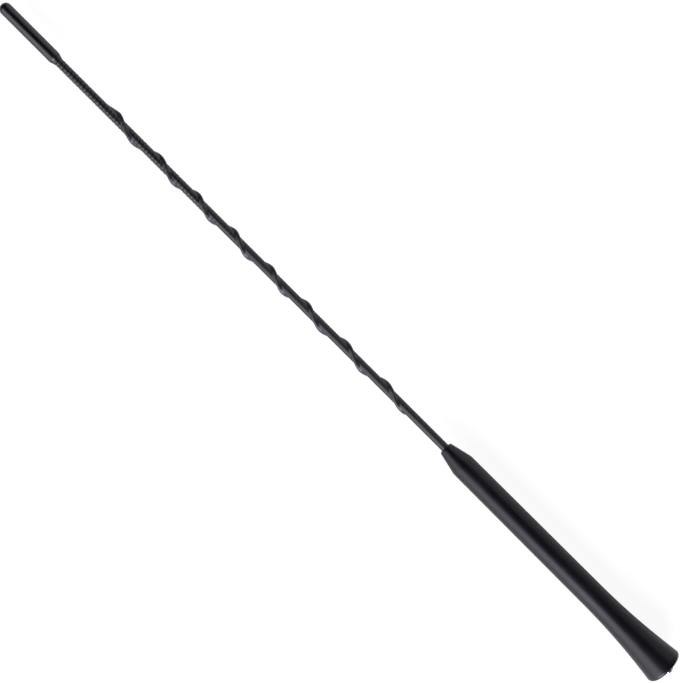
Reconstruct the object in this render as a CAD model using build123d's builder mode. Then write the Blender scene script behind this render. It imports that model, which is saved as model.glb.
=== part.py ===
from build123d import *
from math import cos, radians, sin, tan
import os

# A screw-in car mast aerial. A glass-fibre rod carries a wire winding, a spiral strand that stops the whip
# from whistling, and a shrunk sleeve over both. A cap closes the tip, and a flared grip is moulded over the
# turned foot. Sizes are in millimetres and degrees, +Z runs up the mast, and the origin is the centre of the
# foot's seating shoulder, at the root of its stud.

# Foot, from the stud's end upwards
stud_diameter = 5.0
stud_length = 5.6
stud_chamfer = 0.4
shoulder_width = 0.8
collar_chamfer = 0.3
hexagon_step = 0.7
hexagon_height = 4.0
neck_cut = 0.7
neck_height = 2.5
barrel_wall = 2.2
barrel_height = 20.0
barrel_chamfer = 0.5
socket_depth = 18.0

# Whip, from the middle outwards, with the same small gap between its layers
rod_diameter = 2.5
winding_wall = 0.275
sleeve_wall = 0.35
layer_gap = 0.025
whip_reach = 235.0
sleeve_tuck = 15.0

# Spiral strand: three stretches with their own lead, wound from its lower end upwards
strand_diameter = 0.85
strand_rise = 22.6
strand_start_angle = 146.0
foot_lead = 24.5
foot_turns = 2.345
middle_lead = 22.14
middle_turns = 4.0
tip_lead = 25.6
tip_turns = 1.3
ridge_spread = 0.4
ridge_start_length = 1.2
ridge_end_length = 6.0
ridge_point = 0.35

# Grip, from its rim upwards
grip_length = 133.4
rim_drop = 2.8
shoulder_proud = 0.9
floor_web = 0.9
bell_diameter = 17.5
lip_width = 1.05
lip_round = 0.95
boss_wall = 0.45
boss_height = 0.65
recess_draft = 0.1
recess_bevel = 1.6
collar_gap = 0.35
waist_height = 44.0
waist_diameter = 11.4
shoulder_diameter = 10.9
shoulder_blend = 0.6
cone_length = 10.5
cone_top_wall = 1.05
cone_top_bevel = 0.9
mould_gap = 0.02

# Cap, from its mouth upwards
cap_length = 34.6
cap_wall = 0.91
cap_lip_length = 2.2
cap_lip_edge = 0.15
cap_end_wall = 3.0

# Heights along the mast
rim_z = -rim_drop
lip_z = rim_z + lip_round
floor_z = shoulder_proud
boss_z = floor_z - boss_height
hexagon_z = floor_z + floor_web
neck_z = hexagon_z + hexagon_height
barrel_z = neck_z + neck_height
barrel_top_z = barrel_z + barrel_height
rod_seat_z = barrel_top_z - socket_depth
waist_z = rim_z + waist_height
grip_top_z = rim_z + grip_length
shoulder_z = grip_top_z - cone_length
sleeve_seat_z = grip_top_z - sleeve_tuck
strand_z = grip_top_z + strand_rise
cap_mouth_z = grip_top_z + whip_reach
tip_z = cap_mouth_z + cap_length
whip_end_z = tip_z - cap_end_wall

# Radii from the axis
stud_radius = stud_diameter / 2
collar_radius = stud_radius + shoulder_width
hexagon_radius = collar_radius + hexagon_step
rod_radius = rod_diameter / 2
socket_radius = rod_radius + layer_gap
barrel_radius = socket_radius + barrel_wall
neck_radius = barrel_radius - neck_cut
winding_bore_radius = rod_radius + layer_gap
winding_radius = winding_bore_radius + winding_wall
sleeve_bore_radius = winding_radius + layer_gap
sleeve_radius = sleeve_bore_radius + sleeve_wall
pocket_radius = collar_radius + collar_gap
boss_radius = pocket_radius + boss_wall
bell_radius = bell_diameter / 2
mouth_radius = bell_radius - lip_width
recess_radius = mouth_radius - recess_draft
waist_radius = waist_diameter / 2
shoulder_radius = shoulder_diameter / 2
cone_top_radius = sleeve_radius + cone_top_wall
cap_bore_radius = sleeve_radius + layer_gap
cap_radius = cap_bore_radius + cap_wall
cap_mouth_radius = cap_bore_radius + cap_lip_edge

# Grip's lip, cut to two flats, and the ends of the blend round its shoulder
lip_bevel = lip_round * (1 - cos(radians(45)))
shoulder = Vector(shoulder_radius, shoulder_z)
taper_way = (Vector(waist_radius, waist_z) - shoulder).normalized()
cone_way = (Vector(cone_top_radius, grip_top_z) - shoulder).normalized()
blend_low = shoulder + taper_way * shoulder_blend
blend_high = shoulder + cone_way * shoulder_blend

# Strand and the sleeve's ridge over it, measured across the mast
strand_radius = strand_diameter / 2
channel_radius = strand_radius + layer_gap
ridge_radius = channel_radius + sleeve_wall
strand_offset = winding_radius + channel_radius
strand_stretches = ((foot_lead, foot_turns), (middle_lead, middle_turns), (tip_lead, tip_turns))
strand_top_z = strand_z + sum(lead * turns for lead, turns in strand_stretches)
strand_top_angle = strand_start_angle + 360 * sum(turns for lead, turns in strand_stretches)


def turned_plane(z, angle):
    """A level plane at height z with its X axis turned to the strand's angle there."""
    return Plane.XY.offset(z).rotated((0, 0, angle))


def corner(profile, x, z):
    """The corner of a profile that lies at x and z."""
    return profile.vertices().sort_by_distance((x, z))[0]


def round_bar(radius, low, high, mode=Mode.ADD):
    """Add or take away a round bar on the mast's axis between two heights."""
    with BuildSketch(Plane.XY.offset(low)) as section:
        Circle(radius)
    extrude(section.sketch, amount=high - low, mode=mode)


def hexagon_bar(radius, low, high, mode=Mode.ADD):
    """Add or take away a six-sided bar on the mast's axis, with the radius measured to its flats."""
    with BuildSketch(Plane.XY.offset(low)) as section:
        RegularPolygon(radius, side_count=6, major_radius=False)
    extrude(section.sketch, amount=high - low, mode=mode)


def draw_strand():
    """Draw the strand's section, with six flats inside its round."""
    with Locations((strand_offset, 0)):
        RegularPolygon(strand_radius, side_count=6)


def draw_hood(radius, spread, offset=strand_offset):
    """Draw a hood over the strand: a flat crest and two bevels round it, and flanks that lean out by spread."""
    bevel = radius * tan(radians(22.5))
    foot = offset - rod_radius
    with Locations((offset, 0)):
        Polygon(
            (-foot, -radius - spread),
            (bevel, -radius),
            (radius, -bevel),
            (radius, bevel),
            (bevel, radius),
            (-foot, radius + spread),
            align=None,
        )


def draw_ridge():
    """Draw the outside of the sleeve's ridge."""
    draw_hood(ridge_radius, ridge_spread)


def draw_channel():
    """Draw the channel that the strand lies in under the sleeve."""
    draw_hood(channel_radius, 0)


def wind_up(draw_section, mode=Mode.ADD):
    """Add or take away a section that climbs and turns with the strand, one stretch of lead after another."""
    z = strand_z
    angle = strand_start_angle
    for lead, turns in strand_stretches:
        rise = lead * turns
        with BuildLine() as climb:
            Line((0, 0, z), (0, 0, z + rise))
        with BuildLine() as turn:
            Helix(pitch=lead, height=rise, radius=strand_offset, center=(0, 0, z))
        with BuildSketch(turned_plane(z, angle)) as section:
            draw_section()
        sweep(section.sketch, path=climb.wire(), binormal=turn.wire(), mode=mode)
        z += rise
        angle += 360 * turns


def dome_point(angle):
    """A point on the round of the cap's end, at an angle above its side."""
    return (cap_radius * cos(radians(angle)), tip_z - cap_radius + cap_radius * sin(radians(angle)))


def run_out(z, angle, length):
    """Add the end of the sleeve's ridge, falling from its full section to a point inside the sleeve's wall."""
    with BuildSketch(turned_plane(z, angle)) as full_end:
        draw_ridge()
    with BuildSketch(turned_plane(z + length, angle)) as buried_end:
        draw_hood(ridge_point, 0, sleeve_bore_radius - ridge_point)
    loft([full_end.sketch, buried_end.sketch], ruled=True)


# Foot: stud, collar, hexagon, neck and barrel in one turned piece, bored for the rod
with BuildPart() as threaded_foot:
    round_bar(stud_radius, -stud_length, 0)
    round_bar(collar_radius, 0, hexagon_z)
    hexagon_bar(hexagon_radius, hexagon_z, neck_z)
    round_bar(neck_radius, neck_z, barrel_z)
    round_bar(barrel_radius, barrel_z, barrel_top_z)
    circles = threaded_foot.edges().filter_by(GeomType.CIRCLE)
    stud_edge = circles.sort_by(Axis.Z)[0]
    barrel_edge = circles.sort_by(Axis.Z)[-1]
    collar_edge = circles.sort_by_distance((collar_radius, 0, 0))[0]
    chamfer(stud_edge, stud_chamfer)
    chamfer(collar_edge, collar_chamfer)
    chamfer(barrel_edge, barrel_chamfer)
    with Locations((0, 0, barrel_top_z)):
        Hole(socket_radius, depth=socket_depth)

# Rod: drawn glass-fibre core from the foot's socket to the cap's end
with BuildPart() as glass_fibre_rod:
    round_bar(rod_radius, rod_seat_z, whip_end_z)

# Winding: the turns of wire on the rod as one thin layer, from the foot's barrel to the cap's end
with BuildPart() as radiator_winding:
    round_bar(winding_radius, barrel_top_z, whip_end_z)
    round_bar(winding_bore_radius, barrel_top_z, whip_end_z, Mode.SUBTRACT)

# Strand: a cord wound on the whip in an open spiral
with BuildPart() as spiral_strand:
    wind_up(draw_strand)

# Sleeve: a tube with a spiral ridge where it covers the strand, rounded over the strand's lower end and running
# out to nothing above its upper end
with BuildPart() as shrink_sleeve:
    round_bar(sleeve_radius, sleeve_seat_z, whip_end_z)
    wind_up(draw_ridge)
    run_out(strand_z, strand_start_angle, -ridge_start_length)
    run_out(strand_top_z, strand_top_angle, ridge_end_length)
    round_bar(sleeve_bore_radius, sleeve_seat_z, whip_end_z, Mode.SUBTRACT)
    wind_up(draw_channel, Mode.SUBTRACT)

# Grip: a moulded skin with a cone on top, a long taper and a bell, hollowed to fit the foot and the whip
with BuildPart() as grip:
    with BuildSketch(Plane.XZ) as grip_profile:
        with BuildLine():
            Polyline((0, grip_top_z), (0, boss_z), (boss_radius, boss_z), (boss_radius, floor_z))
            Polyline((boss_radius, floor_z), (recess_radius, floor_z), (mouth_radius, rim_z))
            Polyline(
                (mouth_radius, rim_z),
                (bell_radius - lip_round, rim_z),
                (bell_radius - lip_bevel, rim_z + lip_bevel),
                (bell_radius, lip_z),
            )
            TangentArc((waist_radius, waist_z), (bell_radius, lip_z), tangent=taper_way)
            Spline((waist_radius, waist_z), blend_low)
            TangentArc(blend_low, blend_high, tangent=-taper_way)
            Polyline(blend_high, (cone_top_radius, grip_top_z), (0, grip_top_z))
        make_face()
        chamfer(corner(grip_profile, cone_top_radius, grip_top_z), cone_top_bevel)
        chamfer(corner(grip_profile, recess_radius, floor_z), recess_bevel)
    revolve(axis=Axis.Z)
    round_bar(pocket_radius, boss_z, hexagon_z - mould_gap, Mode.SUBTRACT)
    hexagon_bar(hexagon_radius + mould_gap, hexagon_z - mould_gap, neck_z + mould_gap, Mode.SUBTRACT)
    round_bar(neck_radius + mould_gap, neck_z + mould_gap, barrel_z - mould_gap, Mode.SUBTRACT)
    round_bar(barrel_radius + mould_gap, barrel_z - mould_gap, barrel_top_z + mould_gap, Mode.SUBTRACT)
    round_bar(sleeve_bore_radius, barrel_top_z + mould_gap, sleeve_seat_z, Mode.SUBTRACT)
    round_bar(cap_bore_radius, sleeve_seat_z, grip_top_z, Mode.SUBTRACT)

# Cap: a blind cap over the whip's end, rounded at the tip and drawn in at its mouth
with BuildPart() as tip_cap:
    with BuildSketch(Plane.XZ):
        with BuildLine():
            Polyline(
                (0, tip_z),
                (0, cap_mouth_z),
                (cap_mouth_radius, cap_mouth_z),
                (cap_radius, cap_mouth_z + cap_lip_length),
                *[dome_point(angle) for angle in (0, 28, 54, 78)],
                close=True,
            )
        make_face()
    revolve(axis=Axis.Z)
    round_bar(cap_bore_radius, cap_mouth_z, whip_end_z, Mode.SUBTRACT)

pieces = {
    "grip": grip,
    "threaded_foot": threaded_foot,
    "glass_fibre_rod": glass_fibre_rod,
    "radiator_winding": radiator_winding,
    "spiral_strand": spiral_strand,
    "shrink_sleeve": shrink_sleeve,
    "tip_cap": tip_cap,
}
os.makedirs("parts", exist_ok=True)
for name, piece in pieces.items():
    piece.part.label = name
    export_step(piece.part, f"parts/{name}.step")
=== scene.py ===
import bmesh
import bpy
from math import atan, atan2, cos, degrees, pi, radians, sin, tan
from mathutils import Matrix, Vector


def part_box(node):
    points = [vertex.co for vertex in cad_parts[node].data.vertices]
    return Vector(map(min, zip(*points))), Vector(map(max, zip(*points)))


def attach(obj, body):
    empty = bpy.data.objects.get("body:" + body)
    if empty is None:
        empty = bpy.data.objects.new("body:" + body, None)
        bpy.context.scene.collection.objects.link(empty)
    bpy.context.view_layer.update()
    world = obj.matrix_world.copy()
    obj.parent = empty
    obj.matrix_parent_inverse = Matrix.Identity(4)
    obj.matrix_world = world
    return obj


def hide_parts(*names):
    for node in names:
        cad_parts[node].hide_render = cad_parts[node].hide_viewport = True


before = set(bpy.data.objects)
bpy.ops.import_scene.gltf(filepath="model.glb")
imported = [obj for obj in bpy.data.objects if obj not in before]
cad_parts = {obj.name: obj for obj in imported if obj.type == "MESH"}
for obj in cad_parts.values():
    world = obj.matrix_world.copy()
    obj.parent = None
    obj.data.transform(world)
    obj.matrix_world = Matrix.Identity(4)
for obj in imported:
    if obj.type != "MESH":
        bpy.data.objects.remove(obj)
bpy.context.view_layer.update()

# Lengths on the aerial are millimetres, and this turns them into the frame's metres.
# The table's size, the lamps and the camera's distance are in metres.
MM = 0.001

# Heights that the solids give, from the stud's end up to the tip
foot_low, foot_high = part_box("threaded_foot")
grip_low, grip_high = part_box("grip")
sleeve_low, sleeve_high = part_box("shrink_sleeve")
strand_low, strand_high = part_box("spiral_strand")
cap_low, cap_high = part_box("tip_cap")
STUD_END = foot_low.z / MM
BARREL_TOP = foot_high.z / MM
RIM = grip_low.z / MM
GRIP_TOP = grip_high.z / MM
SLEEVE_SEAT = sleeve_low.z / MM
WHIP_END = sleeve_high.z / MM
STRAND_START = strand_low.z / MM
STRAND_END = strand_high.z / MM
CAP_MOUTH = cap_low.z / MM
TIP = cap_high.z / MM

# Ways of working
MERGE_REACH = 0.001


def start_fresh():
    """Leave edit mode and deselect everything, so that an operator acts on the next piece alone."""
    if bpy.context.object and bpy.context.object.mode != "OBJECT":
        bpy.ops.object.mode_set(mode="OBJECT")
    bpy.ops.object.select_all(action="DESELECT")


def take_up(piece, mode="OBJECT"):
    """Make a piece the only one selected, in object or edit mode, with all of its mesh selected."""
    start_fresh()
    piece.select_set(True)
    bpy.context.view_layer.objects.active = piece
    if mode == "EDIT":
        bpy.ops.object.mode_set(mode="EDIT")
        bpy.ops.mesh.select_all(action="SELECT")


def settle(piece):
    """Put a piece's place and turn into its mesh."""
    take_up(piece)
    bpy.ops.object.transform_apply(location=True, rotation=True, scale=True)


def turn(piece, angle):
    """Turn a piece round the mast's axis, by an angle in degrees."""
    piece.rotation_euler.z = radians(angle)
    settle(piece)


def apply_modifier(piece, modifier):
    """Apply a modifier to a piece."""
    take_up(piece)
    bpy.ops.object.modifier_apply(modifier=modifier.name)


def close_seams(piece):
    """Merge a piece's doubled points and turn its faces outwards."""
    take_up(piece, "EDIT")
    bpy.ops.mesh.remove_doubles(threshold=MERGE_REACH * MM)
    bpy.ops.mesh.normals_make_consistent(inside=False)
    bpy.ops.object.mode_set(mode="OBJECT")


def smooth(piece, angle=30):
    """Shade a piece smooth, apart from edges sharper than the angle."""
    take_up(piece)
    bpy.ops.object.shade_smooth_by_angle(angle=radians(angle))


def select_points(piece, wanted):
    """Select the points of the piece in edit mode whose place passes a test, in millimetres."""
    bpy.ops.mesh.select_mode(type="VERT")
    bpy.ops.mesh.select_all(action="DESELECT")
    mesh = bmesh.from_edit_mesh(piece.data)
    for point in mesh.verts:
        point.select = wanted(point.co / MM)
    mesh.select_flush(True)
    bmesh.update_edit_mesh(piece.data)


def join(pieces):
    """Join pieces into the first of them."""
    start_fresh()
    for piece in pieces:
        piece.select_set(True)
    bpy.context.view_layer.objects.active = pieces[0]
    bpy.ops.object.join()
    return pieces[0]


def arc(centre, radius, start, end, count):
    """Points of a round in a profile, with angles in degrees from the outward direction."""
    angles = [radians(start + (end - start) * i / count) for i in range(count + 1)]
    return [(centre[0] + radius * cos(a), centre[1] + radius * sin(a)) for a in angles]


def draw_line(name, points):
    """Draw a profile of (radius, height) points, from one vertex that is extruded along it."""
    start_fresh()
    start = (points[0][0] * MM, 0, points[0][1] * MM)
    bpy.ops.mesh.primitive_plane_add(size=MM, location=start)
    piece = bpy.context.object
    piece.name = name
    bpy.ops.object.mode_set(mode="EDIT")
    bpy.ops.mesh.merge(type="CENTER")
    for here, there in zip(points, points[1:]):
        step = ((there[0] - here[0]) * MM, 0, (there[1] - here[1]) * MM)
        bpy.ops.mesh.extrude_region_move(TRANSFORM_OT_translate={"value": step})
    bpy.ops.object.mode_set(mode="OBJECT")
    settle(piece)
    return piece


def lathe(name, points, steps):
    """Spin a profile round the mast's axis into a closed skin."""
    piece = draw_line(name, points)
    take_up(piece, "EDIT")
    bpy.ops.mesh.spin(steps=steps, angle=2 * pi, center=(0, 0, 0), axis=(0, 0, 1))
    bpy.ops.object.mode_set(mode="OBJECT")
    close_seams(piece)
    return piece


def wind(piece, lead, turns, steps, repeats=1):
    """Sweep a piece up the mast while it turns, and repeat the sweep on top of itself."""
    climb = piece.modifiers.new("climb", "SCREW")
    climb.axis = "Z"
    climb.angle = 2 * pi * turns
    climb.screw_offset = lead * turns * MM
    climb.iterations = repeats
    climb.steps = climb.render_steps = steps
    apply_modifier(piece, climb)


def thicken(piece, thickness):
    """Give a skin a wall on its inner side."""
    wall = piece.modifiers.new("wall", "SOLIDIFY")
    wall.thickness = thickness * MM
    wall.offset = -1
    apply_modifier(piece, wall)


def combine(piece, tool, operation):
    """Cut a tool out of a piece or fuse it on, and remove the tool."""
    cut = piece.modifiers.new("combine", "BOOLEAN")
    cut.operation = operation
    cut.solver = "EXACT"
    cut.object = tool
    apply_modifier(piece, cut)
    bpy.data.objects.remove(tool)


# Grip: a moulded skin turned from one closed profile
GRIP_BORE = 1.95
GRIP_PASSAGE = 1.575
CONE_TOP_RADIUS = 3.0
CONE_TOP_ROUND = 1.05
CONE_LENGTH = 10.5
SHOULDER_RADIUS = 5.45
SHOULDER_ROUND = 5.0
WAIST_RADIUS = 5.7
WAIST = RIM + 44.0
BELL_RADIUS = 8.75
FLARE_POWER = 2.02
LIP_WIDTH = 0.9
LIP_HEIGHT = 1.4
LIP_START = -6
MOUTH_RADIUS = 7.7
MOUTH_DRAFT = 0.02
MOUTH_DEPTH = 0.3
FLASH_WIDTH = 0.09
FLASH_HEIGHT = 0.07
RECESS_RADIUS = 7.6
RECESS_ROUND = 2.2
RECESS_FLOOR = 0.9
BOSS_RADIUS = 4.1
BOSS_LOW = 0.25
BOSS_ROUND = 0.2
POCKET_RADIUS = 3.65
POCKET_TOP = 1.78
HEXAGON_ROOM = 4.64
HEXAGON_TOP = 5.82
NECK_ROOM = 2.795
NECK_TOP = 8.28
BARREL_ROOM = 3.495
MOULD_GAP = 0.02
# Steps of the spin and of the profile's curves
GRIP_STEPS = 112
CONE_TOP_STEPS = 6
SHOULDER_STEPS = 6
TAPER_STEPS = 8
FLARE_STEPS = 24
LIP_STEPS = 14
RECESS_STEPS = 10
BOSS_STEPS = 4


def grip_outside():
    """The grip's outline from its bore over the top and down the outside to the end of the lip."""
    shoulder = GRIP_TOP - CONE_LENGTH
    cone_slope = (SHOULDER_RADIUS - CONE_TOP_RADIUS) / CONE_LENGTH
    taper_slope = (WAIST_RADIUS - SHOULDER_RADIUS) / (shoulder - WAIST)
    # Round at the cone's top, between the level top face and the cone
    lean = degrees(atan(cone_slope))
    reach = CONE_TOP_ROUND * tan(radians((90 - lean) / 2))
    top_centre = (CONE_TOP_RADIUS - reach, GRIP_TOP - CONE_TOP_ROUND)
    points = [(GRIP_BORE, GRIP_TOP)]
    points += arc(top_centre, CONE_TOP_ROUND, 90, lean, CONE_TOP_STEPS)
    # Blend at the shoulder, bent from the cone's slope to the taper's
    change = cone_slope - taper_slope
    blend = SHOULDER_ROUND * change / 2
    for i in range(SHOULDER_STEPS + 1):
        part = i / SHOULDER_STEPS
        along = blend * (1 - 2 * part)
        bend = (1 - abs(2 * part - 1)) ** 2 * blend * change / 4
        slope = cone_slope if along > 0 else taper_slope
        points.append((SHOULDER_RADIUS - slope * along - bend, shoulder + along))
    # Taper, then the flare as one curve that leaves the taper smoothly
    for i in range(1, TAPER_STEPS + 1):
        height = shoulder - blend + (WAIST - shoulder + blend) * i / TAPER_STEPS
        points.append((SHOULDER_RADIUS + taper_slope * (shoulder - height), height))
    fall = WAIST - (RIM + LIP_HEIGHT)
    spread = BELL_RADIUS - WAIST_RADIUS - taper_slope * fall
    for i in range(1, FLARE_STEPS + 1):
        part = i / FLARE_STEPS
        flare = taper_slope * fall * part + spread * part ** FLARE_POWER
        points.append((WAIST_RADIUS + flare, WAIST - fall * part))
    # Lip, as a quarter of an oval
    for across, up in arc((0, 0), 1, LIP_START, -90, LIP_STEPS):
        points.append((BELL_RADIUS - LIP_WIDTH * (1 - across), RIM + LIP_HEIGHT * (1 + up)))
    return points


def grip_inside():
    """The grip's outline from the rim through the recess and up its bore."""
    # Rim, with the thin flash line at its inner edge
    points = [
        (MOUTH_RADIUS + FLASH_WIDTH, RIM),
        (MOUTH_RADIUS + FLASH_WIDTH / 2, RIM - FLASH_HEIGHT),
        (MOUTH_RADIUS, RIM - FLASH_HEIGHT / 2),
        (MOUTH_RADIUS - MOUTH_DRAFT, RIM + MOUTH_DEPTH),
    ]
    # Dished recess and the boss round the collar
    recess_centre = (RECESS_RADIUS - RECESS_ROUND, RECESS_FLOOR - RECESS_ROUND)
    boss_root_centre = (BOSS_RADIUS + BOSS_ROUND, RECESS_FLOOR - BOSS_ROUND)
    boss_edge_centre = (BOSS_RADIUS - BOSS_ROUND, BOSS_LOW + BOSS_ROUND)
    points += arc(recess_centre, RECESS_ROUND, 0, 90, RECESS_STEPS)
    points += arc(boss_root_centre, BOSS_ROUND, 90, 180, BOSS_STEPS)
    points += arc(boss_edge_centre, BOSS_ROUND, 0, -90, BOSS_STEPS)
    # Pocket, and the room for the foot, the winding and the sleeve
    points += [
        (POCKET_RADIUS, BOSS_LOW),
        (POCKET_RADIUS, POCKET_TOP),
        (HEXAGON_ROOM, POCKET_TOP),
        (HEXAGON_ROOM, HEXAGON_TOP),
        (NECK_ROOM, HEXAGON_TOP),
        (NECK_ROOM, NECK_TOP),
        (BARREL_ROOM, NECK_TOP),
        (BARREL_ROOM, BARREL_TOP + MOULD_GAP),
        (GRIP_PASSAGE, BARREL_TOP + MOULD_GAP),
        (GRIP_PASSAGE, SLEEVE_SEAT),
        (GRIP_BORE, SLEEVE_SEAT),
        (GRIP_BORE, GRIP_TOP),
    ]
    return points


grip_skin = lathe("grip_skin", grip_outside() + grip_inside(), GRIP_STEPS)
smooth(grip_skin)

# Tip cap: a blind cap with a nearly round end and a mouth that is drawn in
CAP_RADIUS = 2.86
CAP_END_ROUND = 2.65
CAP_LIP_RISE = 2.8
CAP_LIP_ROUND = 2.6
CAP_LIP_LEAN = 33
CAP_MOUTH_RADIUS = 2.12
CAP_EDGE_ROUND = 0.08
CAP_EDGE_START = 15
CAP_EDGE_END = -160
CAP_BORE = 1.95
CAP_BORE_LEAD = 0.35
CAP_STEPS = 72
CAP_END_STEPS = 16
CAP_LIP_STEPS = 12
CAP_EDGE_STEPS = 6


def cap_profile():
    """The cap's outline from its tip down the outside, round the mouth and up its blind bore."""
    end_centre = (CAP_RADIUS - CAP_END_ROUND, TIP - CAP_END_ROUND)
    lip_centre = (CAP_RADIUS - CAP_LIP_ROUND, CAP_MOUTH + CAP_LIP_RISE)
    edge_centre = (CAP_MOUTH_RADIUS - CAP_EDGE_ROUND, CAP_MOUTH + CAP_EDGE_ROUND)
    points = [(0, TIP)]
    points += arc(end_centre, CAP_END_ROUND, 90, 0, CAP_END_STEPS)
    # Round above the mouth, and the short skirt down to its edge
    points += arc(lip_centre, CAP_LIP_ROUND, 0, -CAP_LIP_LEAN, CAP_LIP_STEPS)
    points += arc(edge_centre, CAP_EDGE_ROUND, CAP_EDGE_START, CAP_EDGE_END, CAP_EDGE_STEPS)
    points += [(CAP_BORE, CAP_MOUTH + CAP_BORE_LEAD), (CAP_BORE, WHIP_END), (0, WHIP_END)]
    return points


cap_skin = lathe("cap_skin", cap_profile(), CAP_STEPS)
smooth(cap_skin)

# Sleeve: a ring with the strand's bump is wound up the mast and drawn in to the whip at both ends
WHIP_RADIUS = 1.925
SLEEVE_WALL = 0.35
SLEEVE_CREASE = 50
RING_POINTS = 80
STEPS_A_TURN = 40
FEWEST_STEPS = 12
START_ANGLE = 146
RUN_IN = 1.0
RUN_OUT = 8.5
RIDGE_FOOT = STRAND_START - RUN_IN
RIDGE_HEAD = STRAND_END + RUN_OUT
# Lead and rise of each stretch
STRETCHES = (
    (24.5, RUN_IN),
    (24.5, 57.4525),
    (22.14, 88.56),
    (25.6, 33.28),
    (90.0, RUN_OUT),
)
# Degrees from the ridge's crest to its side, and its height over the whip at places along it
RIDGE_HALF_WIDTH = 45
RIDGE_TOP = 1.3
RIDGE_LINE = (
    (RIDGE_FOOT, 0),
    (STRAND_START, 0.7),
    (STRAND_START + 2, 0.72),
    (STRAND_START + 8, 1.0),
    (STRAND_END - 7, 1.0),
    (STRAND_END - 1, RIDGE_TOP),
    (RIDGE_HEAD, 0),
)


def plain_ring(name, height):
    """A ring round the whip at a height."""
    start_fresh()
    bpy.ops.mesh.primitive_circle_add(
        vertices=RING_POINTS, radius=WHIP_RADIUS * MM, location=(0, 0, height * MM)
    )
    piece = bpy.context.object
    piece.name = name
    settle(piece)
    return piece


def off_crest(point):
    """Degrees round the whip from the bump's crest to a point."""
    return degrees(abs(atan2(point.y, point.x)))


def bumped_ring(name, height, angle):
    """A ring round the whip at a height, with the strand's bump at an angle."""
    piece = plain_ring(name, height)
    spacing = 360 / RING_POINTS
    take_up(piece, "EDIT")
    for place in range(int(RIDGE_HALF_WIDTH / spacing) + 1):
        away = place * spacing
        lift = RIDGE_TOP * cos(radians(90 * away / RIDGE_HALF_WIDTH)) ** 2
        scale = 1 + lift / WHIP_RADIUS
        select_points(piece, lambda point: abs(off_crest(point) - away) < spacing / 4)
        bpy.ops.transform.resize(value=(scale, scale, 1), center_override=(0, 0, height * MM))
    bpy.ops.object.mode_set(mode="OBJECT")
    turn(piece, angle)
    return piece


def plain_tube(name, low, high, angle):
    """A plain stretch of the sleeve, turned so that its points meet the next stretch's."""
    piece = plain_ring(name, low)
    turn(piece, angle)
    take_up(piece, "EDIT")
    rise = (0, 0, (high - low) * MM)
    bpy.ops.mesh.extrude_region_move(TRANSFORM_OT_translate={"value": rise})
    bpy.ops.object.mode_set(mode="OBJECT")
    return piece


def ridge_height(height):
    """Height of the ridge over the whip, eased from one place of its line to the next."""
    for (low, start), (high, end) in zip(RIDGE_LINE, RIDGE_LINE[1:]):
        if height <= high:
            part = max(height - low, 0) / (high - low)
            return start + (end - start) * (1 - cos(pi * part)) / 2
    return 0


def draw_in(piece):
    """Draw the wound bump in to the whip until it has the ridge's height."""
    group = piece.vertex_groups.new(name="drawn_in")
    for point in piece.data.vertices:
        group.add([point.index], 1 - ridge_height(point.co.z / MM) / RIDGE_TOP, "REPLACE")
    cast = piece.modifiers.new("draw_in", "CAST")
    cast.cast_type = "CYLINDER"
    cast.use_z = False
    cast.use_radius_as_size = False
    cast.radius = 0
    cast.size = WHIP_RADIUS * MM
    cast.factor = 1
    cast.vertex_group = group.name
    apply_modifier(piece, cast)
    piece.vertex_groups.clear()


height, angle = RIDGE_FOOT, START_ANGLE - 360 * RUN_IN / STRETCHES[0][0]
wound = [plain_tube("tube_low", SLEEVE_SEAT, height, angle)]
for number, (lead, rise) in enumerate(STRETCHES):
    stretch = bumped_ring(f"stretch_{number}", height, angle)
    turns = rise / lead
    wind(stretch, lead, turns, max(FEWEST_STEPS, round(STEPS_A_TURN * turns)))
    wound.append(stretch)
    height += rise
    angle += 360 * turns
wound.append(plain_tube("tube_high", height, WHIP_END, angle))
sleeve_skin = join(wound)
sleeve_skin.name = "sleeve_skin"
draw_in(sleeve_skin)
close_seams(sleeve_skin)
thicken(sleeve_skin, SLEEVE_WALL)
smooth(sleeve_skin, SLEEVE_CREASE)

# Winding relief: the wire turns that show through the upper half of the sleeve and fade out below
WIRE_PITCH = 1.97
WIRE_RELIEF = 0.09
WIRE_SINK = 0.004
WIRE_BURIED = 0.03
WIRE_SKIN = 0.1
WIRE_LOW = 232.55
WIRE_FADE = 50.0
WIRE_TURNS = 68
WIRE_STEPS = 32
WIRE_POINTS = 8


def wire_line():
    """One turn's outline, from one hollow between the wires to the next."""
    points = []
    for i in range(WIRE_POINTS + 1):
        part = i / WIRE_POINTS
        lift = WIRE_RELIEF * (1 - cos(2 * pi * part)) / 2
        points.append((WHIP_RADIUS - WIRE_SINK + lift, WIRE_LOW + WIRE_PITCH * part))
    return points


winding_relief = draw_line("winding_relief", wire_line())
wind(winding_relief, WIRE_PITCH, 1, WIRE_STEPS, WIRE_TURNS)
close_seams(winding_relief)
thicken(winding_relief, WIRE_SKIN)
take_up(winding_relief, "EDIT")
select_points(winding_relief, lambda place: place.z < WIRE_LOW + WIRE_PITCH)
sunk = (WHIP_RADIUS - WIRE_BURIED) / (WHIP_RADIUS + WIRE_RELIEF)
bpy.ops.transform.resize(
    value=(sunk, sunk, 1),
    center_override=(0, 0, WIRE_LOW * MM),
    use_proportional_edit=True,
    proportional_edit_falloff="SMOOTH",
    proportional_size=WIRE_FADE * MM,
)
bpy.ops.object.mode_set(mode="OBJECT")
smooth(winding_relief, SLEEVE_CREASE)

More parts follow.
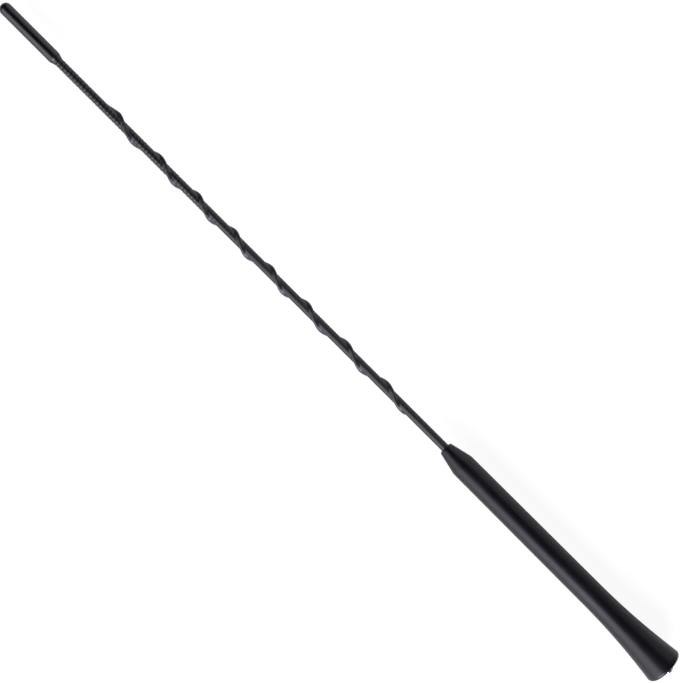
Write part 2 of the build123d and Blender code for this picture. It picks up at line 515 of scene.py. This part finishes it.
# Foot: a turned blank with a hexagon fused on and the stud's thread cut into it
STUD_RADIUS = 2.5
STUD_CHAMFER = 0.4
RELIEF_RADIUS = 2.02
RELIEF_LENGTH = 0.55
RELIEF_SLOPE = 0.3
COLLAR_RADIUS = 3.3
COLLAR_CHAMFER = 0.3
COLLAR_EASE_IN = 0.08
COLLAR_EASE_UP = 0.1
COLLAR_TOP = 1.8
HEXAGON_FLATS = 8.0
HEXAGON_LOW = 1.8
HEXAGON_HIGH = 5.8
HEXAGON_EDGE = 0.15
HEXAGON_OVERLAP = 0.5
NECK_RADIUS = 2.775
NECK_HIGH = 8.3
BARREL_RADIUS = 3.475
BARREL_CHAMFER = 0.5
SOCKET_RADIUS = 1.275
SOCKET_FLOOR = 10.3
FOOT_STEPS = 96
FOOT_CREASE = 28
# Rings that the turning tool leaves on the stud's end face
RING_COUNT = 6
RING_START = 0.16
RING_SPACING = 0.28
RING_LAND = 0.18
RING_SLOPE = 0.05
RING_DEPTH = 0.024
CENTRE_DEPTH = 0.02
# Groove of the thread, with its half widths at the root and where it leaves the stud
THREAD_PITCH = 0.8
THREAD_ROOT = 2.03
THREAD_FLOOR = 0.06
THREAD_MOUTH = 0.39
THREAD_CLEAR = 0.06
THREAD_LEAD_IN = 0.9
THREAD_RUN_OUT = 0.1
THREAD_STEPS = 56


def foot_profile():
    """The foot's outline from the axis at the stud's end, up the outside and down its socket."""
    points = [(0, STUD_END + CENTRE_DEPTH)]
    for ring in range(RING_COUNT):
        inner = RING_START + RING_SPACING * ring
        outer = inner + RING_LAND
        points += [(inner, STUD_END), (outer, STUD_END)]
        points.append((outer + RING_SLOPE, STUD_END + RING_DEPTH))
    points += [
        (STUD_RADIUS - STUD_CHAMFER, STUD_END),
        (STUD_RADIUS, STUD_END + STUD_CHAMFER),
        (STUD_RADIUS, -RELIEF_LENGTH),
        (RELIEF_RADIUS, -RELIEF_LENGTH + RELIEF_SLOPE),
        (RELIEF_RADIUS, 0),
        (COLLAR_RADIUS - COLLAR_CHAMFER, 0),
        (COLLAR_RADIUS - COLLAR_EASE_IN, COLLAR_CHAMFER - COLLAR_EASE_UP),
        (COLLAR_RADIUS, COLLAR_CHAMFER + COLLAR_EASE_UP),
        (COLLAR_RADIUS, COLLAR_TOP + HEXAGON_OVERLAP),
        (NECK_RADIUS, HEXAGON_HIGH - HEXAGON_OVERLAP),
        (NECK_RADIUS, NECK_HIGH),
        (BARREL_RADIUS, NECK_HIGH),
        (BARREL_RADIUS, BARREL_TOP - BARREL_CHAMFER),
        (BARREL_RADIUS - BARREL_CHAMFER, BARREL_TOP),
        (SOCKET_RADIUS, BARREL_TOP),
        (SOCKET_RADIUS, SOCKET_FLOOR),
        (0, SOCKET_FLOOR),
    ]
    return points


def hexagon_bar():
    """The foot's hexagon, with all of its edges eased."""
    start_fresh()
    bpy.ops.mesh.primitive_cylinder_add(
        vertices=6,
        radius=HEXAGON_FLATS / 2 / cos(radians(30)) * MM,
        depth=(HEXAGON_HIGH - HEXAGON_LOW) * MM,
        location=(0, 0, (HEXAGON_HIGH + HEXAGON_LOW) / 2 * MM),
    )
    piece = bpy.context.object
    turn(piece, 30)
    take_up(piece, "EDIT")
    bpy.ops.mesh.select_mode(type="VERT")
    bpy.ops.mesh.bevel(offset=HEXAGON_EDGE * MM, segments=2, affect="EDGES")
    bpy.ops.object.mode_set(mode="OBJECT")
    return piece


def thread_groove():
    """The stud's thread groove, as a tool that starts beyond its end and stops in the relief."""
    low = STUD_END - THREAD_LEAD_IN
    section = [
        (THREAD_ROOT, low - THREAD_FLOOR),
        (STUD_RADIUS + THREAD_CLEAR, low - THREAD_MOUTH),
        (STUD_RADIUS + THREAD_CLEAR, low + THREAD_MOUTH),
        (THREAD_ROOT, low + THREAD_FLOOR),
        (THREAD_ROOT, low - THREAD_FLOOR),
    ]
    piece = draw_line("thread_groove", section)
    close_seams(piece)
    turns = (THREAD_RUN_OUT - RELIEF_LENGTH - low) / THREAD_PITCH
    wind(piece, THREAD_PITCH, turns, round(THREAD_STEPS * turns))
    # Close both ends
    take_up(piece, "EDIT")
    bpy.ops.mesh.select_all(action="DESELECT")
    bpy.ops.mesh.select_mode(type="EDGE")
    bpy.ops.mesh.select_non_manifold()
    bpy.ops.mesh.fill()
    bpy.ops.object.mode_set(mode="OBJECT")
    close_seams(piece)
    return piece


foot_metal = lathe("foot_metal", foot_profile(), FOOT_STEPS)
combine(foot_metal, hexagon_bar(), "UNION")
combine(foot_metal, thread_groove(), "DIFFERENCE")
close_seams(foot_metal)
smooth(foot_metal, FOOT_CREASE)

# Finishes: a mask's middle range, which is spread over a finish's two ends
MASK_LOW = 0.3
MASK_HIGH = 0.7


def add(tree, kind, **values):
    """Add a node to a tree and set its properties and inputs by name."""
    node = tree.nodes.new(kind)
    for label, value in values.items():
        if hasattr(node, label):
            setattr(node, label, value)
        else:
            node.inputs[label.replace("_", " ")].default_value = value
    return node


def reckon(tree, operation, *terms):
    """Add a sum of sockets and plain numbers to a tree, and give its result."""
    node = add(tree, "ShaderNodeMath", operation=operation)
    for socket, term in zip(node.inputs, terms):
        if isinstance(term, (int, float)):
            socket.default_value = term
        else:
            tree.links.new(term, socket)
    return node.outputs[0]


def mix(tree, share, first, second):
    """Mix two shaders by a share."""
    node = tree.nodes.new("ShaderNodeMixShader")
    for socket, term in zip(node.inputs, (share, first, second)):
        tree.links.new(term, socket)
    return node.outputs[0]


def new_group(name, inputs, outputs):
    """A node group with named sockets, and its in and out nodes."""
    group = bpy.data.node_groups.new(name, "ShaderNodeTree")
    for label, kind, value in inputs:
        socket = group.interface.new_socket(label, in_out="INPUT", socket_type=kind)
        if value is not None:
            socket.default_value = value
    for label, kind in outputs:
        group.interface.new_socket(label, in_out="OUTPUT", socket_type=kind)
    return group, group.nodes.new("NodeGroupInput"), group.nodes.new("NodeGroupOutput")


def mould_grain_group():
    """Fine grain of a moulded or shrunk black skin, with the slow changes in its sheen."""
    group, enter, leave = new_group(
        "mould_grain",
        [
            ("Place", "NodeSocketVector", None),
            ("Grain Scale", "NodeSocketFloat", 3000.0),
            ("Mottle Scale", "NodeSocketFloat", 90.0),
        ],
        [("Grain", "NodeSocketFloat"), ("Mottle", "NodeSocketFloat")],
    )
    fine = add(group, "ShaderNodeTexNoise", Detail=3.0, Roughness=0.6)
    slow = add(group, "ShaderNodeTexNoise", Detail=4.0, Roughness=0.55)
    for noise, scale, out in ((fine, "Grain Scale", "Grain"), (slow, "Mottle Scale", "Mottle")):
        group.links.new(enter.outputs["Place"], noise.inputs["Vector"])
        group.links.new(enter.outputs[scale], noise.inputs["Scale"])
        group.links.new(noise.outputs["Fac"], leave.inputs[out])
    return group


def drawn_marks_group():
    """Marks that run along or round the mast, from a noise stretched by a scale along each axis."""
    group, enter, leave = new_group(
        "drawn_marks",
        [
            ("Place", "NodeSocketVector", None),
            ("Stretch", "NodeSocketVector", (1.0, 1.0, 1.0)),
            ("Scale", "NodeSocketFloat", 1.0),
        ],
        [("Marks", "NodeSocketFloat")],
    )
    stretch = add(group, "ShaderNodeVectorMath", operation="MULTIPLY")
    noise = add(group, "ShaderNodeTexNoise", Detail=2.0, Roughness=0.5)
    group.links.new(enter.outputs["Place"], stretch.inputs[0])
    group.links.new(enter.outputs["Stretch"], stretch.inputs[1])
    group.links.new(stretch.outputs["Vector"], noise.inputs["Vector"])
    group.links.new(enter.outputs["Scale"], noise.inputs["Scale"])
    group.links.new(noise.outputs["Fac"], leave.inputs["Marks"])
    return group


def wire_turns_group():
    """Height of the wire's turns under the sleeve, as a screw-shaped wave that fades downwards."""
    group, enter, leave = new_group(
        "wire_turns",
        [
            ("Place", "NodeSocketVector", None),
            ("Pitch", "NodeSocketFloat", WIRE_PITCH * MM),
            ("Low", "NodeSocketFloat", (WIRE_LOW + WIRE_PITCH / 2) * MM),
            ("Fade", "NodeSocketFloat", WIRE_FADE * MM),
        ],
        [("Turns", "NodeSocketFloat")],
    )
    apart = group.nodes.new("ShaderNodeSeparateXYZ")
    group.links.new(enter.outputs["Place"], apart.inputs[0])
    rise = reckon(group, "SUBTRACT", apart.outputs["Z"], enter.outputs["Low"])
    count = reckon(group, "DIVIDE", rise, enter.outputs["Pitch"])
    climbed = reckon(group, "MULTIPLY", count, 2 * pi)
    round_mast = reckon(group, "ARCTAN2", apart.outputs["Y"], apart.outputs["X"])
    phase = reckon(group, "SUBTRACT", climbed, round_mast)
    wave = reckon(group, "COSINE", phase)
    share = reckon(group, "DIVIDE", rise, enter.outputs["Fade"])
    share.node.use_clamp = True
    group.links.new(reckon(group, "MULTIPLY", wave, share), leave.inputs["Turns"])
    return group


mould_grain = mould_grain_group()
drawn_marks = drawn_marks_group()
wire_turns = wire_turns_group()


def new_finish(name):
    """A material with one shader, and its tree, shader and object coordinates."""
    finish = bpy.data.materials.new(name)
    finish.use_nodes = True
    tree = finish.node_tree
    tree.nodes.clear()
    shader = tree.nodes.new("ShaderNodeBsdfPrincipled")
    out = tree.nodes.new("ShaderNodeOutputMaterial")
    tree.links.new(shader.outputs["BSDF"], out.inputs["Surface"])
    place = tree.nodes.new("ShaderNodeTexCoord").outputs["Object"]
    return finish, tree, shader, place


def use_group(tree, group, place, **values):
    """Place a node group in a material with its own values, and give its outputs."""
    node = tree.nodes.new("ShaderNodeGroup")
    node.node_tree = group
    tree.links.new(place, node.inputs["Place"])
    for label, value in values.items():
        node.inputs[label.replace("_", " ")].default_value = value
    return node.outputs


def spread_value(tree, mask, ends, target):
    """Lead a mask to a socket as a value between two ends."""
    spread = add(
        tree, "ShaderNodeMapRange",
        From_Min=MASK_LOW, From_Max=MASK_HIGH, To_Min=ends[0], To_Max=ends[1],
    )
    tree.links.new(mask, spread.inputs["Value"])
    tree.links.new(spread.outputs["Result"], target)


def spread_colour(tree, mask, ends, target):
    """Lead a mask to a colour socket as a colour between two ends."""
    ramp = tree.nodes.new("ShaderNodeValToRGB")
    for stop, position, colour in zip(ramp.color_ramp.elements, (MASK_LOW, MASK_HIGH), ends):
        stop.position = position
        stop.color = (*colour, 1)
    tree.links.new(mask, ramp.inputs["Fac"])
    tree.links.new(ramp.outputs["Color"], target)


def raise_bump(tree, height, strength, depth, shader, under=None):
    """Lead a height to a shader's normal, on top of another bump where there is one."""
    bump = add(tree, "ShaderNodeBump", Strength=strength, Distance=depth * MM)
    tree.links.new(height, bump.inputs["Height"])
    if under:
        tree.links.new(under.outputs["Normal"], bump.inputs["Normal"])
    tree.links.new(bump.outputs["Normal"], shader.inputs["Normal"])
    return bump


def black_skin(name, tones, roughness, grain_scale, grain_depth, shine, wound_depth=0):
    """A black moulded or shrunk skin, with the wire's turns where they show through."""
    finish, tree, shader, place = new_finish(name)
    grain = use_group(tree, mould_grain, place, Grain_Scale=grain_scale, Mottle_Scale=110.0)
    spread_colour(tree, grain["Mottle"], tones, shader.inputs["Base Color"])
    spread_value(tree, grain["Mottle"], roughness, shader.inputs["Roughness"])
    grain_bump = raise_bump(tree, grain["Grain"], 0.5, grain_depth, shader)
    if wound_depth:
        wound = use_group(tree, wire_turns, place)
        raise_bump(tree, wound["Turns"], 1.0, wound_depth, shader, grain_bump)
    shader.inputs["Specular Tint"].default_value = (0.9, 0.86, 1.0, 1)
    shader.inputs["Specular IOR Level"].default_value = shine
    return finish


def drawn_finish(name, tones, roughness, stretch, scale, metallic=0.0, mark_depth=0):
    """A turned, drawn or wound surface, with marks that run one way."""
    finish, tree, shader, place = new_finish(name)
    marks = use_group(tree, drawn_marks, place, Stretch=stretch, Scale=scale)["Marks"]
    spread_colour(tree, marks, tones, shader.inputs["Base Color"])
    spread_value(tree, marks, roughness, shader.inputs["Roughness"])
    if mark_depth:
        raise_bump(tree, marks, 0.25, mark_depth, shader)
    shader.inputs["Metallic"].default_value = metallic
    return finish


MOULDED_BLACK = ((0.0018, 0.0015, 0.0026), (0.003, 0.0026, 0.004))
grip_rubber = black_skin(
    "grip_rubber", MOULDED_BLACK, (0.34, 0.41), grain_scale=1500, grain_depth=0.03, shine=0.3,
)
cap_plastic = black_skin(
    "cap_plastic", MOULDED_BLACK, (0.27, 0.32), grain_scale=1800, grain_depth=0.006, shine=0.5,
)
sleeve_plastic = black_skin(
    "sleeve_plastic", ((0.007, 0.0062, 0.0085), (0.0095, 0.0085, 0.0115)), (0.43, 0.49),
    grain_scale=2200, grain_depth=0.012, shine=0.48, wound_depth=0.055,
)
# The sleeve where it is drawn tight over the wire
taut_plastic = black_skin(
    "taut_plastic", ((0.005, 0.0044, 0.0062), (0.007, 0.0062, 0.0085)), (0.31, 0.36),
    grain_scale=2200, grain_depth=0.012, shine=0.5, wound_depth=0.055,
)
strand_cord = black_skin(
    "strand_cord", ((0.02, 0.02, 0.021), (0.04, 0.04, 0.042)), (0.6, 0.75),
    grain_scale=4000, grain_depth=0.03, shine=0.5,
)
bright_metal = drawn_finish(
    "bright_metal", ((0.64, 0.65, 0.67), (0.78, 0.79, 0.8)), (0.16, 0.3),
    stretch=(0.12, 0.12, 1.0), scale=16000.0, metallic=1.0, mark_depth=0.008,
)
rod_composite = drawn_finish(
    "rod_composite", ((0.42, 0.4, 0.25), (0.66, 0.63, 0.46)), (0.35, 0.5),
    stretch=(1.0, 1.0, 0.02), scale=6000.0,
)
winding_wire = drawn_finish(
    "winding_wire", ((0.3, 0.12, 0.05), (0.62, 0.32, 0.16)), (0.25, 0.4),
    stretch=(0.02, 0.02, 1.0), scale=3000.0, metallic=1.0,
)


def dress(piece, finish, slot, *nodes):
    """Give a new piece its finish, let it ride on the aerial and hide the solids it stands for."""
    piece.data.materials.clear()
    piece.data.materials.append(finish)
    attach(piece, "root")
    if nodes:
        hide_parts(*nodes)


dress(grip_skin, grip_rubber, "grip_rubber", "grip")
dress(cap_skin, cap_plastic, "cap_plastic", "tip_cap")
dress(sleeve_skin, sleeve_plastic, "sleeve_plastic", "shrink_sleeve")
dress(winding_relief, taut_plastic, "sleeve_plastic")
dress(foot_metal, bright_metal, "bright_metal", "threaded_foot")
for node, finish in (
    ("glass_fibre_rod", rod_composite),
    ("radiator_winding", winding_wire),
    ("spiral_strand", strand_cord),
):
    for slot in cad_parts[node].material_slots:
        slot.material = finish

# Stage: a white table that the aerial lies on, seen from straight above
TABLE_SIZE = 4.0
TABLE_GAP = 0.3
TABLE_TONE = 0.88
TABLE_GLOW = 1.06
SHADOW_SHARE = 0.13
GLOSSY_SHARE = 0.18


def table_finish():
    """White to the camera, less so in reflections, softly shadowed, and clear from behind."""
    finish = bpy.data.materials.new("table_white")
    finish.use_nodes = True
    tree = finish.node_tree
    tree.nodes.clear()
    path = tree.nodes.new("ShaderNodeLightPath").outputs
    side = tree.nodes.new("ShaderNodeNewGeometry").outputs
    lit = add(tree, "ShaderNodeBsdfDiffuse", Color=(TABLE_TONE, TABLE_TONE, TABLE_TONE, 1))
    glow = add(tree, "ShaderNodeEmission", Color=(1, 1, 1, 1), Strength=TABLE_GLOW)
    clear = tree.nodes.new("ShaderNodeBsdfTransparent")
    mirrored = reckon(tree, "MAXIMUM", path["Is Glossy Ray"], path["Is Transmission Ray"])
    mirrored_share = reckon(tree, "MULTIPLY", mirrored, GLOSSY_SHARE)
    seen = reckon(tree, "MAXIMUM", path["Is Camera Ray"], mirrored_share)
    glow_share = reckon(tree, "MULTIPLY", seen, 1 - SHADOW_SHARE)
    white = mix(tree, glow_share, lit.outputs[0], glow.outputs[0])
    one_sided = mix(tree, side["Backfacing"], white, clear.outputs[0])
    out = tree.nodes.new("ShaderNodeOutputMaterial")
    tree.links.new(one_sided, out.inputs["Surface"])
    return finish


start_fresh()
table_place = (0, (BELL_RADIUS + TABLE_GAP) * MM, (TIP + RIM) / 2 * MM)
bpy.ops.mesh.primitive_plane_add(
    size=TABLE_SIZE, location=table_place, rotation=(radians(90), 0, 0)
)
table = bpy.context.object
table.name = "white_table"
table.data.materials.append(table_finish())


def studio_world():
    """A dim studio round the lamps, white to the camera and, beyond the table, in reflections."""
    world = bpy.data.worlds.new("studio")
    world.use_nodes = True
    tree = world.node_tree
    tree.nodes.clear()
    path = tree.nodes.new("ShaderNodeLightPath").outputs
    way = tree.nodes.new("ShaderNodeSeparateXYZ")
    tree.links.new(tree.nodes.new("ShaderNodeTexCoord").outputs["Generated"], way.inputs[0])
    dim = add(tree, "ShaderNodeBackground", Color=(0.02, 0.02, 0.021, 1), Strength=1.0)
    bright = add(tree, "ShaderNodeBackground", Color=(1, 1, 1, 1), Strength=1.0)
    behind = reckon(tree, "GREATER_THAN", way.outputs["Y"], 0.0)
    mirrored = reckon(tree, "MAXIMUM", path["Is Glossy Ray"], path["Is Transmission Ray"])
    mirrored_behind = reckon(tree, "MULTIPLY", mirrored, behind)
    seen = reckon(tree, "MAXIMUM", path["Is Camera Ray"], mirrored_behind)
    out = tree.nodes.new("ShaderNodeOutputWorld")
    tree.links.new(mix(tree, seen, dim.outputs[0], bright.outputs[0]), out.inputs["Surface"])
    return world


bpy.context.scene.world = studio_world()


def stand(place, right, up, back):
    """The matrix that stands a lamp or the camera at a place, looking away from its back."""
    return Matrix.Translation(place) @ Matrix((right, up, back)).transposed().to_4x4()


def soft_box(name, place, aim, width, length, radiance):
    """An area lamp that faces a point, with its length along the mast and its face's brightness."""
    start_fresh()
    bpy.ops.object.light_add(type="AREA", location=place)
    lamp = bpy.context.object
    lamp.name = name
    back = (Vector(place) - Vector(aim)).normalized()
    across = Vector((0, 0, 1)).cross(back).normalized()
    lamp.matrix_world = stand(place, across, back.cross(across), back)
    lamp.data.shape = "RECTANGLE"
    lamp.data.size = width
    lamp.data.size_y = length
    lamp.data.energy = radiance * pi * width * length


# Lamps: a large soft box beside the camera, a weaker one across from it, and a third one further
# away, low towards the foot
soft_box("key_box", (-0.87, -0.52, 0.25), (0, 0, 0.25), width=1.1, length=1.5, radiance=3.4)
soft_box("far_box", (0.95, -0.33, 0.42), (0, 0, 0.42), width=1.2, length=1.2, radiance=1.3)
soft_box("foot_box", (-1.55, -1.2, -1.5), (0, 0, 0.2), width=1.4, length=1.4, radiance=15.0)

# Camera: square to the mast, rolled so that the mast runs from corner to corner
LENS = 72.0
SENSOR = 36.0
NEAREST = 0.01
ROLL = 45.03
DISTANCE = 0.5874
AIM_ACROSS = 0.43
AIM_UP = 194.93

right = Vector((cos(radians(ROLL)), 0, -sin(radians(ROLL))))
up = Vector((sin(radians(ROLL)), 0, cos(radians(ROLL))))
back = Vector((0, -1, 0))
camera_place = Vector((AIM_ACROSS * MM, -DISTANCE, AIM_UP * MM))
start_fresh()
bpy.ops.object.camera_add(location=camera_place)
camera = bpy.context.object
camera.matrix_world = stand(camera_place, right, up, back)
camera.data.lens = LENS
camera.data.sensor_width = SENSOR
camera.data.clip_start = NEAREST
bpy.context.scene.camera = camera
bpy.context.scene.view_settings.view_transform = "Standard"
